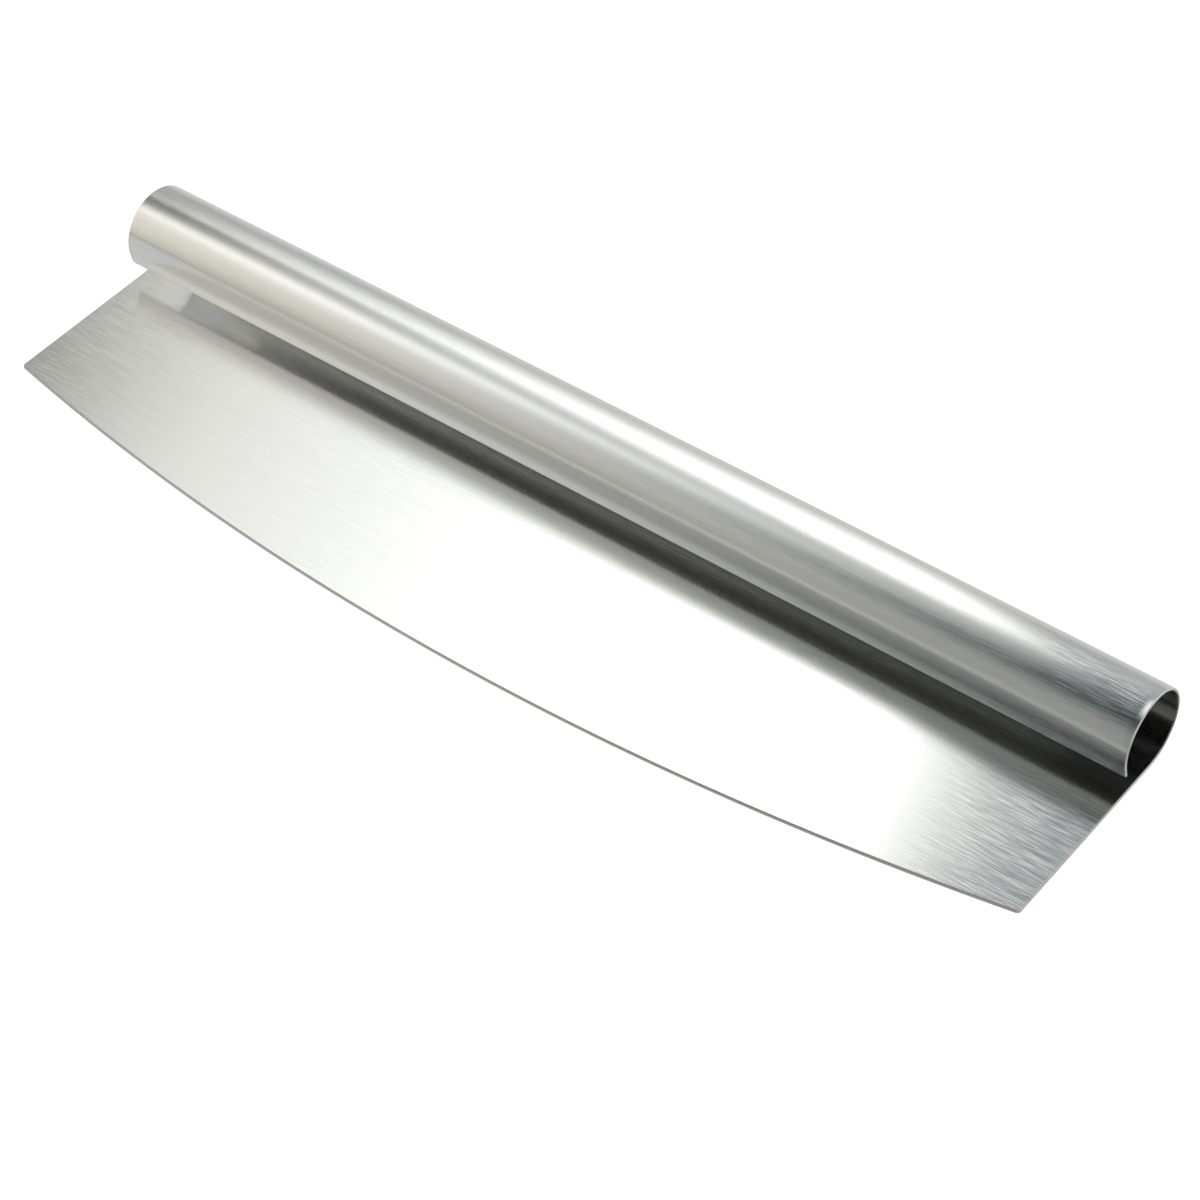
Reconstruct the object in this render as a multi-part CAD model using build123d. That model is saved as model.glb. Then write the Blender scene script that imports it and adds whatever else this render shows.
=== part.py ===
from build123d import *
import os

# Rocking pizza knife: one blank of stainless sheet, flat below as the blade and rolled above as the handle.
# It lies on its back as on a table: X runs along the handle, the cutting edge is towards -Y, the roll is towards +Z.
# The origin is on the table under the middle of the knife.

# The blank
knife_length = 355.0       # between the two straight sides, and of the handle
sheet_thickness = 1.0
edge_rounding = 0.3        # radius left by deburring on the straight sides and the tube's ends

# The rolled handle
handle_diameter = 26.8     # outside
roll_turn = 299.0          # degrees of bend, from the flat sheet round to the lip
lip_rounding = 0.25        # radius left by deburring on the lip

# The blade
side_length = 61.7         # straight side, from the start of the roll to the corner
edge_bow = 17.8            # how far the middle of the cutting edge stands past the corners
corner_radius = 1.2
bevel_width = 0.6          # ground off the front face along the cutting edge
bevel_depth = 0.5          # ground off the sheet's thickness, which leaves a narrow land

# How far cutting tools run past the metal
overrun = 5.0

# Worked out from the sizes above
half_length = knife_length / 2
handle_radius = handle_diameter / 2
blade_reach = side_length + edge_bow
rocker_radius = (half_length**2 + edge_bow**2) / (2 * edge_bow)

# Places across the knife, with the whole knife centred on the origin
roll_start_y = (blade_reach - handle_radius) / 2
corner_y = roll_start_y - side_length
edge_middle_y = roll_start_y - blade_reach
rocker_centre_y = edge_middle_y + rocker_radius
roll_axis = Axis((0, roll_start_y, handle_radius), (1, 0, 0))


# The cross-section of the blank, seen along Y: a wide flat strip with deburred corners, lying on the table.
# Blade and handle both grow from this one face, so they match exactly where they meet.
def strip_section():
    strip = Rectangle(knife_length, sheet_thickness)
    rounded = fillet(strip.vertices(), edge_rounding)
    return Plane.XZ.offset(-roll_start_y) * Pos(0, sheet_thickness / 2) * rounded


# The outline of the blade, seen from the front: two straight sides and the bowed cutting edge.
def blade_outline():
    left_top = (-half_length, roll_start_y)
    left_corner = (-half_length, corner_y)
    right_corner = (half_length, corner_y)
    right_top = (half_length, roll_start_y)
    left_side = Line(left_top, left_corner)
    cutting_edge = ThreePointArc(left_corner, (0, edge_middle_y), right_corner)
    right_side = Line(right_corner, right_top)
    bend_line = Line(right_top, left_top)
    outline = make_face([left_side, cutting_edge, right_side, bend_line])
    corners = outline.vertices().sort_by(Axis.Y)[:2]
    return fillet(corners, corner_radius)


# The metal that the grinding wheel takes off: a shallow cone round the centre of the rocking edge,
# which leaves the front face one bevel width inside the edge and runs out at the corners.
def bevel_cut():
    land = sheet_thickness - bevel_depth
    slope = bevel_depth / bevel_width
    heel = (rocker_radius - bevel_width, sheet_thickness)
    toe = (rocker_radius + overrun, land - slope * overrun)
    above_toe = (rocker_radius + overrun, sheet_thickness + overrun)
    above_heel = (rocker_radius - bevel_width, sheet_thickness + overrun)
    profile = make_face(Polyline(heel, toe, above_toe, above_heel, close=True))
    upright = Plane((0, rocker_centre_y, 0), x_dir=(0, -1, 0), z_dir=(-1, 0, 0))
    rocker_axis = Axis((0, rocker_centre_y, 0), (0, 0, 1))
    return revolve(upright * profile, axis=rocker_axis)


def make_blade():
    strip = extrude(strip_section(), amount=blade_reach + overrun, dir=(0, -1, 0))
    outline = extrude(blade_outline(), amount=sheet_thickness)
    return (strip & outline) - bevel_cut()


# The roll is the strip's section carried round the handle's axis. Its last face is the lip, which is deburred.
def make_rolled_handle():
    roll = revolve(strip_section(), axis=roll_axis, revolution_arc=roll_turn)
    lip_direction = Vector(0, 1, 0).rotate(Axis.X, roll_turn)
    flat_faces = roll.faces().filter_by(GeomType.PLANE)
    lip = max(flat_faces, key=lambda face: face.normal_at().dot(lip_direction))
    return fillet(lip.edges(), lip_rounding)


os.makedirs("parts", exist_ok=True)
parts = {
    "blade": make_blade(),
    "rolled_handle": make_rolled_handle(),
}
for name, part in parts.items():
    part.label = name
    export_step(part, f"parts/{name}.step")
    print(name, round(part.volume, 1))
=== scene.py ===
import bpy
import numpy as np
from mathutils import Matrix


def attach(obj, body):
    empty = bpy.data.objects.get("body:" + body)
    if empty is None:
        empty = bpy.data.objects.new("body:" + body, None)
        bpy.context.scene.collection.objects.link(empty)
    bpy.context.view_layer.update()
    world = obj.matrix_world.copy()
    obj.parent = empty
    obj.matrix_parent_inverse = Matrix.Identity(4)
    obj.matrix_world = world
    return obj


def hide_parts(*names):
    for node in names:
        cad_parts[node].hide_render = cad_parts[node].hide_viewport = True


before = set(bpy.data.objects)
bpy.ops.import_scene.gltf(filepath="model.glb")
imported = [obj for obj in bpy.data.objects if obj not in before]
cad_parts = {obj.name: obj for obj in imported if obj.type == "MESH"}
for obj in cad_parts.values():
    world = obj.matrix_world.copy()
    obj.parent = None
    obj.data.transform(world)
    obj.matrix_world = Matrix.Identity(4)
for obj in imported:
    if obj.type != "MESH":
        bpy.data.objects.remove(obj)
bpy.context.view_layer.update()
print("frame loaded:", sorted(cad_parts))

# Rocking pizza knife of brushed stainless sheet. Metres throughout; X runs along the handle, the cutting
# edge is towards -Y, Z is up from the table that the knife lies on.


# The camera
cameraPlace = {
    "position": (0.466647, -0.529692, 0.695812),
    "heading": 40.168,      # degrees, turned left from looking along +Y
    "tilt": 45.293,         # degrees below the horizon
    "roll": -2.806,
    "lens": 105.929,        # millimetres, as the sensor's width is
    "sensor": 36,
    "clip": (0.05, 50),
}


# The camera looks along ahead. level and upward stand square to it, and roll turns them about it:
# right = cos level + sin upward, up = cos upward - sin level.
def makeCamera(place):
    heading, tilt, roll = (np.radians(place[k]) for k in ("heading", "tilt", "roll"))
    ahead = np.array([-np.sin(heading) * np.cos(tilt), np.cos(heading) * np.cos(tilt), -np.sin(tilt)])
    level = np.array([np.cos(heading), np.sin(heading), 0.0])
    upward = np.cross(level, ahead)
    right = np.cos(roll) * level + np.sin(roll) * upward
    up = np.cos(roll) * upward - np.sin(roll) * level
    turned = Matrix(np.stack([right, up, -ahead], 1).tolist()).to_4x4()
    data = bpy.data.cameras.new("camera")
    data.sensor_width = place["sensor"]
    data.lens = place["lens"]
    data.clip_start, data.clip_end = place["clip"]
    camera = bpy.data.objects.new("camera", data)
    camera.matrix_world = Matrix.Translation(place["position"]) @ turned
    bpy.context.scene.collection.objects.link(camera)
    bpy.context.scene.camera = camera


makeCamera(cameraPlace)
print("camera in place")


# Shader maths
# One output socket of a node tree. Sums on it add Math nodes, and node adds any other kind.
class Wire:
    def __init__(self, tree, socket):
        self.tree = tree
        self.socket = socket

    # Settings go in first, then the sockets' values or links
    @staticmethod
    def node(tree, kind, settings=None, inputs=None, out=0):
        made = tree.nodes.new(kind)
        for name, value in (settings or {}).items():
            setattr(made, name, value)
        for name, value in (inputs or {}).items():
            if isinstance(value, Wire):
                tree.links.new(value.socket, made.inputs[name])
            else:
                made.inputs[name].default_value = value
        return Wire(tree, made.outputs[out] if made.outputs else None)

    # Another output of the same node
    def other(self, name):
        return Wire(self.tree, self.socket.node.outputs[name])

    def maths(self, operation, *values):
        return Wire.node(self.tree, "ShaderNodeMath", {"operation": operation}, dict(enumerate(values)))

    def __add__(self, b):
        return self.maths("ADD", self, b)

    def __radd__(self, a):
        return self.maths("ADD", a, self)

    def __sub__(self, b):
        return self.maths("SUBTRACT", self, b)

    def __rsub__(self, a):
        return self.maths("SUBTRACT", a, self)

    def __mul__(self, b):
        return self.maths("MULTIPLY", self, b)

    def __rmul__(self, a):
        return self.maths("MULTIPLY", a, self)

    # 0 below low, 1 above high, and an S-curve between
    def step(self, low, high):
        values = {"Value": self, "From Min": low, "From Max": high, "To Min": 0.0, "To Max": 1.0}
        return Wire.node(self.tree, "ShaderNodeMapRange", {"interpolation_type": "SMOOTHSTEP"}, values)

    # 1 between two soft ends, each given as (middle, half width)
    def band(self, start, end):
        rise = self.step(start[0] - start[1], start[0] + start[1])
        fall = self.step(end[0] - end[1], end[0] + end[1])
        return rise * (1 - fall)

    def xyz(self):
        parts = Wire.node(self.tree, "ShaderNodeSeparateXYZ", None, {0: self})
        return parts, parts.other("Y"), parts.other("Z")


# a where share is 0, and a mixed with b in the given way where it is 1
def mixColour(tree, share, a, b, way="MIX"):
    settings = {"data_type": "RGBA", "blend_type": way, "clamp_factor": False}
    return Wire.node(tree, "ShaderNodeMix", settings, {0: share, 6: a, 7: b}, out=2)


def paint(red, green, blue):
    return (red, green, blue, 1.0)


# The studio
# Soft light from a few large cards round the table. A card is a patch of the sky: swing is the angle in
# degrees from the back horizon (0) over the top (90) to the front horizon (180), as seen along the handle,
# and along is the sky direction's share of X. Each end is (middle, half width of its soft rim), and an end
# at (-2, 1) or (2, 1) is past the sky's own.
studio = {
    "base": {"light": 0.046, "tint": (0.6, 1.0, 1.2)},
    "cards": {
        "backWall": {
            "light": 0.84, "tint": (0.985, 1.0, 0.965),
            "swing": ((-100, 10), (19, 60)), "along": ((-2, 1), (2, 1)),
        },
        "overhead": {
            "light": 1.22, "tint": (1.0, 1.0, 0.965),
            "swing": ((40.7, 34), (94.3, 41.6)), "along": ((-0.592, 0.04), (-0.342, 0.024)),
        },
        "overheadCore": {
            "light": 2.9, "tint": (1.0, 1.0, 0.98),
            "swing": ((22.3, 42.8), (72.5, 17.4)), "along": ((-0.4113, 0.1995), (-0.3679, 0.03)),
        },
        "overheadTail": {
            "light": 0.31, "tint": (0.95, 1.0, 1.01),
            "swing": ((21.5, 16.5), (84.8, 50)), "along": ((-0.342, 0.024), (0.0, 0.15)),
        },
        "overheadRight": {
            "light": 1.3, "tint": (1.0, 1.0, 0.98),
            "swing": ((62, 14), (104, 14)), "along": ((-0.22, 0.06), (0.10, 0.10)),
        },
        "frontStrip": {
            "light": 1.39, "tint": (1.01, 1.0, 0.955),
            "swing": ((98.6, 13.8), (136.6, 40)), "along": ((-0.80, 0.08), (-0.4405, 0.1238)),
        },
        "frontWall": {
            "light": 0.76, "tint": (1.06, 1.0, 0.83),
            "swing": ((140.4, 24.6), (230, 30)), "along": ((-0.80, 0.08), (-0.566, 0.35)),
        },
        "frontFill": {
            "light": 0.315, "tint": (1.01, 1.0, 0.92),
            "swing": ((140.4, 24.6), (245, 27)), "along": ((-2, 1), (2, 1)),
        },
        "rightSide": {
            "light": 0.6, "tint": (1.0, 1.0, 0.97),
            "swing": ((5, 25), (175, 25)), "along": ((0.10, 0.10), (2, 1)),
        },
        "leftSide": {
            "light": 0.25, "tint": (1.0, 1.0, 0.97),
            "swing": ((5, 25), (175, 25)), "along": ((-2, 1), (-0.66, 0.04)),
        },
    },
    "gap": {                # a dark slot between the cards, at the left end
        "depth": 1.0,
        "swing": ((67, 3), (84, 8)), "along": ((-0.66, 0.04), (-0.57, 0.13)),
    },
    "warm": {               # the left of the room is warmer
        "tint": (1.04, 1.0, 0.94), "along": ((-0.76, 0.06), (-0.56, 0.06)),
    },
    "backdrop": 1.0,        # what the camera sees behind the table
    "bounces": 10,          # for light that runs to and fro between lip and blade
}


# sky = base + each card's light x its two bands, down to black in the gap, and warm at the left
def makeStudio(look):
    world = bpy.data.worlds.new("studio")
    world.use_nodes = True
    tree = world.node_tree
    tree.nodes.clear()
    toSky = Wire.node(tree, "ShaderNodeTexCoord")
    x, y, z = toSky.xyz()
    swing = x.maths("ARCTAN2", z, y) * np.degrees(1.0).item()
    swing = swing + swing.maths("LESS_THAN", swing, -90.0) * 360    # it counts on from 180 below the front
    base = look["base"]
    sky = mixColour(tree, 1.0, paint(0, 0, 0), paint(*(base["light"] * v for v in base["tint"])))
    for card in look["cards"].values():
        lit = swing.band(*card["swing"]) * x.band(*card["along"]) * card["light"]
        sky = mixColour(tree, lit, sky, paint(*card["tint"]), way="ADD")
    gap = look["gap"]
    dark = swing.band(*gap["swing"]) * x.band(*gap["along"]) * gap["depth"]
    sky = mixColour(tree, dark, sky, paint(0, 0, 0))
    warm = look["warm"]
    sky = mixColour(tree, x.band(*warm["along"]), sky, paint(*warm["tint"]), way="MULTIPLY")
    light = Wire.node(tree, "ShaderNodeBackground", None, {"Color": sky, "Strength": 1.0})
    whiteValues = {"Color": paint(1, 1, 1), "Strength": look["backdrop"]}
    white = Wire.node(tree, "ShaderNodeBackground", None, whiteValues)
    path = Wire.node(tree, "ShaderNodeLightPath")
    seen = Wire.node(tree, "ShaderNodeMixShader", None, {0: path.other("Is Camera Ray"), 1: light, 2: white})
    Wire.node(tree, "ShaderNodeOutputWorld", None, {"Surface": seen})
    bpy.context.scene.world = world
    bpy.context.scene.view_settings.view_transform = "Standard"
    bpy.context.scene.cycles.glossy_bounces = look["bounces"]


makeStudio(studio)
print("studio lit")


# The table
table = {
    "reach": 3.0,
    "colour": (0.86, 0.86, 0.85),
    "glow": 0.68,           # the share of white that no shadow takes away
    "mirrored": {           # how bright metal sees it: a share of white, and where that changes
        "share": 0.45,
        "tint": (1, 1, 0.98),
        "nearGain": 0.33, "nearY": (-0.30, -0.05),
        "rightLoss": 0.28, "rightX": (-0.05, 0.20), "rightY": (0.0, 0.08),
        "farLoss": 0.25, "farY": (0.1, 1.2),
    },
}


# The camera sees the lit table + glow. Metal sees it as its own white, which is
# (share + gain near the knife - loss at its right) x (1 - loss far behind it).
def makeTable(look):
    reach = look["reach"]
    corners = np.array([[-1, -1, 0], [1, -1, 0], [1, 1, 0], [-1, 1, 0]]) * reach
    mesh = bpy.data.meshes.new("table")
    mesh.from_pydata(corners.tolist(), [], [(0, 1, 2, 3)])
    top = bpy.data.objects.new("table", mesh)
    bpy.context.scene.collection.objects.link(top)
    material = bpy.data.materials.new("whiteTable")
    material.use_nodes = True
    tree = material.node_tree
    tree.nodes.clear()
    place = Wire.node(tree, "ShaderNodeTexCoord", out="Object")
    x, y, _ = place.xyz()
    lit = Wire.node(tree, "ShaderNodeBsdfDiffuse", None, {"Color": paint(*look["colour"])})
    glow = Wire.node(tree, "ShaderNodeEmission", None, {"Color": paint(1, 1, 1), "Strength": look["glow"]})
    shown = Wire.node(tree, "ShaderNodeAddShader", None, {0: lit, 1: glow})
    metal = look["mirrored"]
    near = y.step(*metal["nearY"])
    right = x.step(*metal["rightX"]) * (1 - y.step(*metal["rightY"]))
    far = y.step(*metal["farY"])
    level = metal["share"] + metal["nearGain"] * near - metal["rightLoss"] * right
    strength = level * (1 - metal["farLoss"] * far)
    metalValues = {"Color": paint(*metal["tint"]), "Strength": strength}
    inMetal = Wire.node(tree, "ShaderNodeEmission", None, metalValues)
    path = Wire.node(tree, "ShaderNodeLightPath")
    byCamera, byMetal = path.other("Is Camera Ray"), path.other("Is Glossy Ray")
    camera = Wire.node(tree, "ShaderNodeMixShader", None, {0: byCamera, 1: lit, 2: shown})
    both = Wire.node(tree, "ShaderNodeMixShader", None, {0: byMetal, 1: camera, 2: inMetal})
    Wire.node(tree, "ShaderNodeOutputMaterial", None, {"Surface": both})
    mesh.materials.append(material)


makeTable(table)
print("table laid")


# Brushed steel
steel = {
    "colour": (0.662, 0.664, 0.658),
    "roughness": 0.125,
    "anisotropy": 1.0,
    "brushTurn": 0.25,        # turns from the tangent, so that light spreads across the brush marks
    "scatter": 0.20,          # roughness in the hairlines, which also throw light along the knife
    "hairShare": 0.95,        # how much of a hairline does so
    "hairRise": (0.44, 0.65),     # the noise that makes no hairline, and a full one
    # Hairlines, coarser brush marks, and slow changes of tone along the sheet
    "hair": {"length": 0.0080, "width": 0.00018, "detail": 1.0, "seed": 3.1, "tone": 0.25},
    "mark": {"length": 0.018, "width": 0.0008, "detail": 2.0, "seed": 7.7, "tone": 0.06},
    "cloud": {"length": 0.12, "width": 0.012, "detail": 1.0, "seed": 1.3, "tone": 0.04},
    "grainRoughness": 0.55,   # of the noise itself
    "markRoughness": 0.02,    # added and taken off by the marks
    "groundShare": 0.7,       # how much of the ground edge scatters
    "groundRoughness": 0.35,  # added there
    "groundTone": 0.22,       # taken off there
    "paintedShadeTone": 0.6,          # painted shade: taken off the tone inside the tube's right end
}


# tone = 1 + each grain's amount x (grain - 0.5), times what is left on the ground edge and under the painted
# shade inside the tube.
# The shine mixes two lobes: one drawn out across the brushing, and a round one in the hairlines and on the
# ground edge.
def makeSteel(look):
    material = bpy.data.materials.new("brushedStainless")
    material.use_nodes = True
    tree = material.node_tree
    tree.nodes.clear()
    place = Wire.node(tree, "ShaderNodeTexCoord", out="Object")

    # Noise drawn out along the handle, about 0.5 in the mean
    def grain(size):
        seed = (size["seed"], size["seed"], size["seed"])
        stretch = (1 / size["length"], 1 / size["width"], 1 / size["width"])
        drawing = {"Vector": place, "Location": seed, "Scale": stretch}
        drawn = Wire.node(tree, "ShaderNodeMapping", None, drawing)
        values = {
            "Vector": drawn, "Scale": 1.0,
            "Detail": size["detail"], "Roughness": look["grainRoughness"],
        }
        return Wire.node(tree, "ShaderNodeTexNoise", None, values)

    def steelShine(roughness, anisotropy):
        values = {
            "Base Color": colour, "Metallic": 1.0, "Roughness": roughness,
            "Anisotropic": anisotropy, "Anisotropic Rotation": look["brushTurn"],
        }
        return Wire.node(tree, "ShaderNodeBsdfPrincipled", {"distribution": "MULTI_GGX"}, values)

    hair, mark, cloud = (grain(look[name]) for name in ("hair", "mark", "cloud"))
    ground = Wire.node(tree, "ShaderNodeAttribute", {"attribute_name": "ground"}, out="Fac")
    # painted shade inside the tube's right end, which darkens the tone
    paintedShade = Wire.node(tree, "ShaderNodeAttribute", {"attribute_name": "paintedShade"}, out="Fac")
    tone = 1 + look["hair"]["tone"] * (hair - 0.5) + look["mark"]["tone"] * (mark - 0.5)
    tone = tone + look["cloud"]["tone"] * (cloud - 0.5)
    tone = tone * (1 - look["groundTone"] * ground) * (1 - look["paintedShadeTone"] * paintedShade)
    scaling = {0: look["colour"], "Scale": tone}
    colour = Wire.node(tree, "ShaderNodeVectorMath", {"operation": "SCALE"}, scaling)
    rough = look["roughness"] + look["markRoughness"] * (mark - 0.5) + look["groundRoughness"] * ground
    brushed = steelShine(rough, look["anisotropy"])
    scattered = steelShine(look["scatter"] + look["groundRoughness"] * ground, 0.0)
    share = look["hairShare"] * hair.step(*look["hairRise"]) * (1 - ground) + look["groundShare"] * ground
    shine = Wire.node(tree, "ShaderNodeMixShader", None, {0: share, 1: brushed, 2: scattered})
    Wire.node(tree, "ShaderNodeOutputMaterial", None, {"Surface": shine})
    return material


steelMaterial = makeSteel(steel)
print("steel mixed")


# The sheet
sheet = {
    "halfLength": 0.1775,
    "thickness": 0.001,
    "deburr": 0.0003,         # radius on the straight sides and the tube's ends
    "deburrSplit": (51, 39),  # degrees between which the front quarter turn is parted into two runs
    "rollStart": 0.03305,     # where the flat blade ends and the roll begins
}


# A rounded profile: each run is (out, height, first and last angle of the outward normal in degrees,
# radius, number of points, and the two angles of the whole corner, of which it may be a part). An arc
# touches both straight lines that meet in the corner: centre = corner - r (n1 + n2) / (1 + n1.n2), and its
# points are centre + r n. Returns out, height and the normals as columns.
def roundedProfile(corners):
    rows = []
    for out, height, first, last, radius, count, firstFull, lastFull in corners:
        n1 = np.array([np.cos(np.radians(firstFull)), np.sin(np.radians(firstFull))])
        n2 = np.array([np.cos(np.radians(lastFull)), np.sin(np.radians(lastFull))])
        centre = np.array([out, height]) - radius * (n1 + n2) / (1 + n1 @ n2)
        angle = np.radians(np.linspace(first, last, count))
        normal = np.stack([np.cos(angle), np.sin(angle)], 1)
        rows.append(np.hstack([centre + radius * normal, normal]))
    return np.concatenate(rows)


frontPoints = 4     # in each of a profile's two front runs
backPoints = 8      # and in its back one


# The deburred straight side, front to back. The front quarter turn is in two runs, which pair with the two
# corners of the bevel.
def sideProfile():
    t, r = sheet["thickness"], sheet["deburr"]
    high, low = sheet["deburrSplit"]
    return roundedProfile([
        (0, t, 90, high, r, frontPoints, 90, 0),
        (0, t, low, 0, r, frontPoints, 90, 0),
        (0, 0, 0, -90, r, backPoints, 0, -90),
    ])


# 0 below low, 1 above high, and an S-curve t^2 (3 - 2t) between
def ease(value, low, high):
    t = np.clip((value - low) / (high - low), 0, 1)
    return t ** 2 * (3 - 2 * t)


# Puts points, faces and the surface's own normals into a mesh. Faces are rows of four, plates are the flat
# ends, each (point numbers, normal), and finishAndShade is a named value from 0 to 1 at each point, which
# the
# steel reads: the ground edge's finish on the blade, and painted shade inside the tube on the handle.
def buildPiece(name, points, normals, quads, plates, finishAndShade):
    # Vertices that no face uses are dropped
    everyCorner = np.concatenate([quads.ravel()] + [np.asarray(p) for p, _ in plates])
    used, order = np.unique(everyCorner, return_inverse=True)
    quads = order[:quads.size].reshape(quads.shape)
    rest = order[quads.size:]
    faces = quads.tolist()
    loopNormals = [normals[used][quads.ravel()]]
    start = 0
    for plate, facing in plates:
        faces.append(rest[start:start + len(plate)].tolist())
        start += len(plate)
        loopNormals.append(np.tile(facing, (len(plate), 1)))
    mesh = bpy.data.meshes.new(name)
    mesh.from_pydata(points[used].tolist(), [], faces)
    mesh.polygons.foreach_set("use_smooth", np.ones(len(faces), bool))
    mesh.normals_split_custom_set(np.concatenate(loopNormals).tolist())
    mesh.attributes.new(finishAndShade[0], "FLOAT", "POINT").data.foreach_set("value", finishAndShade[1][used])
    # The brush marks run along X: with the texture space's centre far along Y, X is the tangent all over
    farAlongY = 100
    mesh.use_auto_texspace = False
    mesh.texspace_location = (0, farAlongY, 0)
    mesh.texspace_size = (1, 1, 1)
    mesh.materials.append(steelMaterial)
    piece = bpy.data.objects.new(name, mesh)
    bpy.context.scene.collection.objects.link(piece)
    return piece


# Each face of a grid joins a point to the next in its row and to the same two in the next row
def gridQuads(index):
    return np.stack([index[:-1, :-1], index[:-1, 1:], index[1:, 1:], index[1:, :-1]], -1).reshape(-1, 4)


# The blade
blade = {
    "corner": 0.0012,         # radius
    "edgeMiddle": -0.04645,   # Y
    "edgeRadius": 0.8938989,  # of the rocker arc
    "bevelWidth": 0.00045,
    "bevelDepth": 0.0005,
    "heelRadius": 0.00012,
    "landRadius": 0.00006,
    "bevelFade": 0.0016,      # how far along the edge the bevel takes to open at each corner
    "hollow": 2.4,            # degrees that the face's normals lean to the front beside the roll
    "hollowStart": (-0.004, 0.011),     # Y over which the lean comes up
    "hollowEnd": (0.014, 0.021),        # and goes down
    "hollowFade": (0.100, 0.155),       # X over which it goes at the right end
    "rows": 48,
    "cornerSteps": 10,
    "edgeSteps": 120,
}


# The ground edge: a heel where the bevel starts, the bevel, and the narrow land down to the back.
def edgeProfile():
    t = sheet["thickness"]
    land = t - blade["bevelDepth"]
    facing = np.degrees(np.arctan2(blade["bevelWidth"], blade["bevelDepth"]))
    return roundedProfile([
        (-blade["bevelWidth"], t, 90, facing, blade["heelRadius"], frontPoints, 90, facing),
        (0, land, facing, 0, blade["landRadius"], frontPoints, facing, 0),
        (0, 0, 0, -90, blade["landRadius"], backPoints, 0, -90),
    ])


# The blade's outline from the seam's left end round to its right end, with outward directions: the straight
# side, the corner's arc, the rocker arc of radius R round a centre far behind, and the same mirrored.
def bladeOutline():
    h, r, bow = sheet["halfLength"], blade["corner"], blade["edgeRadius"]
    centreY = blade["edgeMiddle"] + bow
    cornerX = -h + r
    cornerY = centreY - np.sqrt((bow - r) ** 2 - cornerX ** 2)
    meets = np.arctan2(cornerY - centreY, cornerX)      # where the corner runs into the rocker arc
    down = np.linspace(sheet["rollStart"], cornerY, blade["rows"] + 1)
    side = np.stack([np.full_like(down, -h), down], 1)
    sideOut = np.tile([-1.0, 0.0], (len(down), 1))
    turn = np.linspace(np.pi, meets + 2 * np.pi, blade["cornerSteps"] + 1)[1:]
    cornerOut = np.stack([np.cos(turn), np.sin(turn)], 1)
    corner = np.array([cornerX, cornerY]) + r * cornerOut
    share = np.linspace(0, 1, blade["edgeSteps"] + 1)[1:-1]
    along = meets + (-np.pi / 2 - meets) * 2 * share
    edgeOut = np.stack([np.cos(along), np.sin(along)], 1)
    edge = np.array([0, centreY]) + bow * edgeOut
    flip = np.array([-1.0, 1.0])
    path = np.concatenate([side, corner, edge, corner[::-1] * flip, side[::-1] * flip])
    out = np.concatenate([sideOut, cornerOut, edgeOut, cornerOut[::-1] * flip, sideOut[::-1] * flip])
    return path, out


# The blade is a profile carried along its outline, which turns from the deburred side into the ground edge,
# and flat grids in front and behind that run from the seam to the profile's two ends. Returns the piece and
# the X of the seam's points, which the handle's columns join.
def makeBlade():
    path, out = bladeOutline()
    rows, bottom = blade["rows"], 2 * blade["cornerSteps"] + blade["edgeSteps"]
    run = np.concatenate([[0], np.cumsum(np.linalg.norm(np.diff(path, axis=0), axis=1))])
    opening = ease(np.minimum(run - run[rows], run[-1 - rows] - run), 0, blade["bevelFade"])[:, None, None]
    # path x profile x (out, height, normal)
    profile = sideProfile() * (1 - opening) + edgeProfile() * opening
    facing = profile[..., 2:] / np.linalg.norm(profile[..., 2:], axis=-1, keepdims=True)
    band = np.concatenate([path[:, None] + out[:, None] * profile[..., :1], profile[..., 1:2]], -1)
    bandNormal = np.concatenate([out[:, None] * facing[..., :1], facing[..., 1:]], -1)
    count, depth = band.shape[:2]
    bandIndex = np.arange(count * depth).reshape(count, depth)

    def flatGrid(k, start):
        low = band[rows:rows + bottom + 1, k]
        high = low * [1, 0, 1] + [0, sheet["rollStart"], 0]
        share = np.linspace(0, 1, rows + 1)[:, None, None]
        points = high * (1 - share) + low * share
        index = start + np.arange(points.shape[0] * points.shape[1]).reshape(points.shape[:2])
        index[:, 0] = bandIndex[:rows + 1, k]
        index[-1] = bandIndex[rows:rows + bottom + 1, k]
        index[:, -1] = bandIndex[count - rows - 1:, k][::-1]
        return points, index

    front, frontIndex = flatGrid(0, count * depth)
    back, backIndex = flatGrid(-1, count * depth + front[..., 0].size)
    points = np.concatenate([band.reshape(-1, 3), front.reshape(-1, 3), back.reshape(-1, 3)])
    faceY = front[..., 1].ravel()
    lean = np.radians(blade["hollow"]) * ease(faceY, *blade["hollowStart"])
    lean = lean * (1 - ease(faceY, *blade["hollowEnd"]))
    lean = lean * (1 - ease(front[..., 0].ravel(), *blade["hollowFade"]))
    normals = np.concatenate([
        bandNormal.reshape(-1, 3),
        np.stack([0 * lean, -np.sin(lean), np.cos(lean)], 1),
        np.tile([0.0, 0.0, -1.0], (back[..., 0].size, 1)),
    ])
    # The ground finish comes up over the heel's points and goes down over the land's
    column, rise = np.arange(depth), frontPoints - 1
    ground = np.clip(np.minimum(column / rise, (rise + frontPoints - column) / rise), 0, 1) * opening[..., 0]
    ground = np.concatenate([ground.ravel(), np.zeros(front[..., 0].size + back[..., 0].size)])
    quads = np.concatenate([gridQuads(bandIndex), gridQuads(frontIndex)[:, ::-1], gridQuads(backIndex)])
    seam = np.concatenate([frontIndex[0], bandIndex[-1, 1:-1], backIndex[0][::-1], bandIndex[0, 1:-1][::-1]])
    piece = buildPiece("bladeSheet", points, normals, quads, [(seam, (0, 1, 0))], ("ground", ground))
    return piece, front[0, :, 0]


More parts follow.
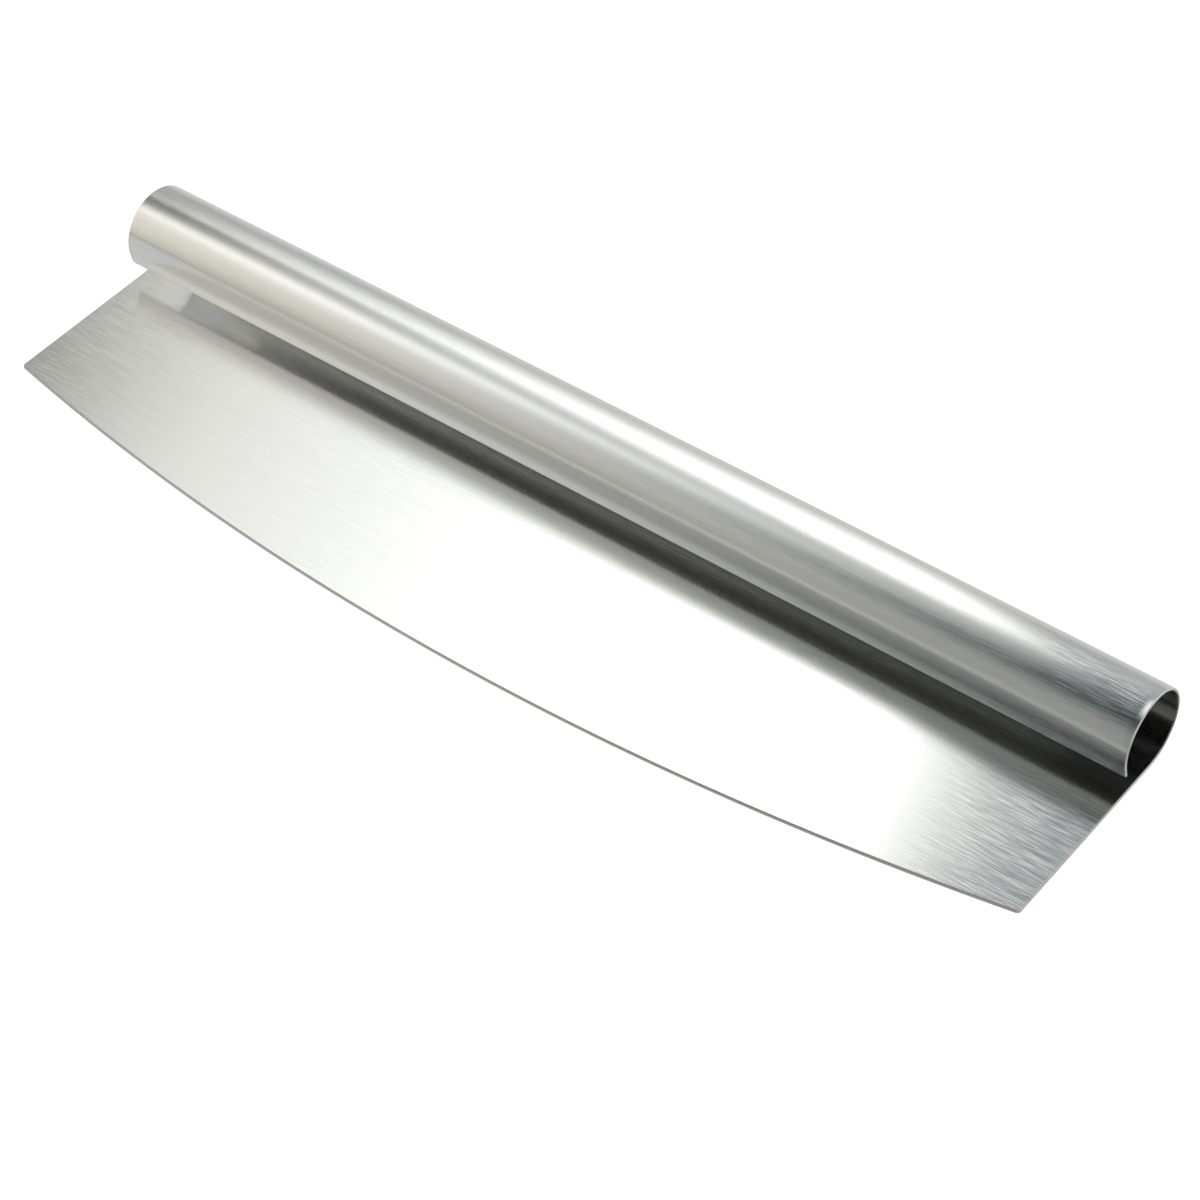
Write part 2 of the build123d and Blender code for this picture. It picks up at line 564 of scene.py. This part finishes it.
# The handle
handle = {
    "radius": 0.0134,
    "turn": 278.5,            # degrees of full bend, before the sheet eases towards its lip
    "easeRadius": 0.035,      # of the bend from there to the lip
    "easeTurn": 6.7,          # and its degrees
    "endDroop": 0.00011,      # how far the outer face droops at the tube's right end
    "droopReach": 0.0026,
    "droopSteps": 10,
    "droopBend": 0.7,         # radians of bend past the seam over which the droop comes in
    "lipDeburr": 0.00025,
    "paintedShadeReach": (0.135, 0.155),        # X over which painted shade comes in on the inner wall
    "paintedShadeStart": (-1.4, -0.9),          # radians round the hub, where that comes in at the bottom
    "paintedShadeEnd": (1.2, 1.7),              # and where it goes again at the top
    "steps": 200,
    "easeSteps": 16,
    "lipSteps": 6,
}


# The roll is the sheet's section carried round the handle's axis: at angle a, a point at depth z in the
# sheet is at hub + (R - z)(cos a, sin a). Past the full bend it runs on with a larger R, from the hub that
# keeps it tangent: hub' = hub + (R - R') n. The lip closes it with rings that draw in by r (1 - cos p)
# while they go on by r sin p.
def makeHandle(columns):
    t, radius, wide, lip = sheet["thickness"], handle["radius"], handle["easeRadius"], handle["lipDeburr"]
    side = sideProfile()
    right = np.stack([sheet["halfLength"] + side[:, 0], side[:, 1], side[:, 2], side[:, 3]], 1)
    left = right[::-1] * [-1, 1, -1, 1]
    # More columns near both ends, of which the right one droops
    last, reach = columns[-1], handle["droopReach"]
    close = last - reach * np.linspace(1, 0, handle["droopSteps"] + 1)[:-1]
    inside = columns[abs(columns) < last - reach]
    columns = np.unique(np.concatenate([inside, columns[[0, -1]], close, -close]))
    flat = np.ones(len(columns))
    frontRow = np.stack([columns, flat * t, flat * 0, flat], 1)
    backRow = np.stack([columns[::-1], flat * 0, flat * 0, -flat], 1)
    section = np.concatenate([frontRow, right[1:-1], backRow, left[1:-1]])
    x, depth, leanX, leanOut = section.T
    full = np.radians(handle["turn"] - 90)
    end = full + np.radians(handle["easeTurn"])
    hub = np.array([sheet["rollStart"], radius])
    lipHub = hub + (radius - wide) * np.array([np.cos(full), np.sin(full)])
    bend = np.linspace(-np.pi / 2, full, handle["steps"] + 1)[:, None] + 0 * depth
    share = np.linspace(0, 1, handle["easeSteps"] + 1)[1:, None]
    easing = full * (1 - share) + (end - np.arcsin(lip / (wide - depth))) * share
    angle = np.concatenate([bend, easing])
    # The droop is d u^2, u growing from 0 to 1 at the end, and the normal leans by its slope. It comes in
    # past the seam, and only on the outer face.
    pastSeam = np.clip((angle + np.pi / 2) / handle["droopBend"], 0, 1)
    near = np.clip((x - last) / reach + 1, 0, 1) * (depth < t / 2) * pastSeam
    # Painted shade: the back part of the inner wall near the right end is darkened
    inner = (depth > t / 2) * ease(x, *handle["paintedShadeReach"])
    paintedShade = inner * ease(angle, *handle["paintedShadeStart"]) * (1 - ease(angle, *handle["paintedShadeEnd"]))
    depth = depth + handle["endDroop"] * near ** 2
    slope = 2 * handle["endDroop"] / reach * near * abs(leanOut)
    leanX, leanOut = leanX - slope * leanOut, leanOut + slope * leanX
    inBend = np.arange(len(angle))[:, None] <= handle["steps"]
    arm = np.where(inBend, radius, wide) - depth
    middle = np.where(inBend[..., None], hub, lipHub)
    around = np.stack([np.cos(angle), np.sin(angle)], -1)
    placeYZ = middle + arm[..., None] * around
    ringPoints = np.concatenate([(x + 0 * angle)[..., None], placeYZ], -1)
    ringNormals = np.concatenate([leanX[..., None], -leanOut[..., None] * around], -1)
    onward = np.array([0, -np.sin(end), np.cos(end)])
    outward = np.array([0, np.cos(end), np.sin(end)])
    p = np.radians(np.linspace(0, 90, handle["lipSteps"] + 1))[1:, None]
    inset = lip * (1 - np.cos(p))
    depth, leanX, leanOut = depth[-1], leanX[-1], leanOut[-1]
    lipX, lipDepth = x - leanX * inset, depth - leanOut * inset
    lipArm = (wide - lipDepth)[..., None]
    forward = (lip * (np.sin(p) - 1))[..., None]
    start = np.array([0, *lipHub])
    lipPoints = start + lipArm * outward + forward * onward + lipX[..., None] * np.array([1.0, 0, 0])
    sectionNormal = leanX[:, None] * np.array([1.0, 0, 0]) - leanOut[:, None] * outward
    lipNormals = np.cos(p)[..., None] * sectionNormal + np.sin(p)[..., None] * onward
    points = np.concatenate([ringPoints, lipPoints])
    normals = np.concatenate([ringNormals, lipNormals])
    paintedShade = np.concatenate([paintedShade, np.zeros(lipPoints.shape[:2])]).ravel()
    index = np.arange(points.shape[0] * points.shape[1]).reshape(points.shape[:2])
    closed = np.concatenate([index, index[:, :1]], 1)
    plates = [(index[0][::-1], (0, -1, 0)), (index[-1], tuple(onward))]
    quads = gridQuads(closed)
    points, normals = points.reshape(-1, 3), normals.reshape(-1, 3)
    return buildPiece("handleRoll", points, normals, quads, plates, ("paintedShade", paintedShade))


bladeSheet, seamColumns = makeBlade()
handleRoll = makeHandle(seamColumns)
for piece, node in ((bladeSheet, "blade"), (handleRoll, "rolled_handle")):
    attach(piece, "root")
    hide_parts(node)
    print(piece.name, "faces:", len(piece.data.polygons))
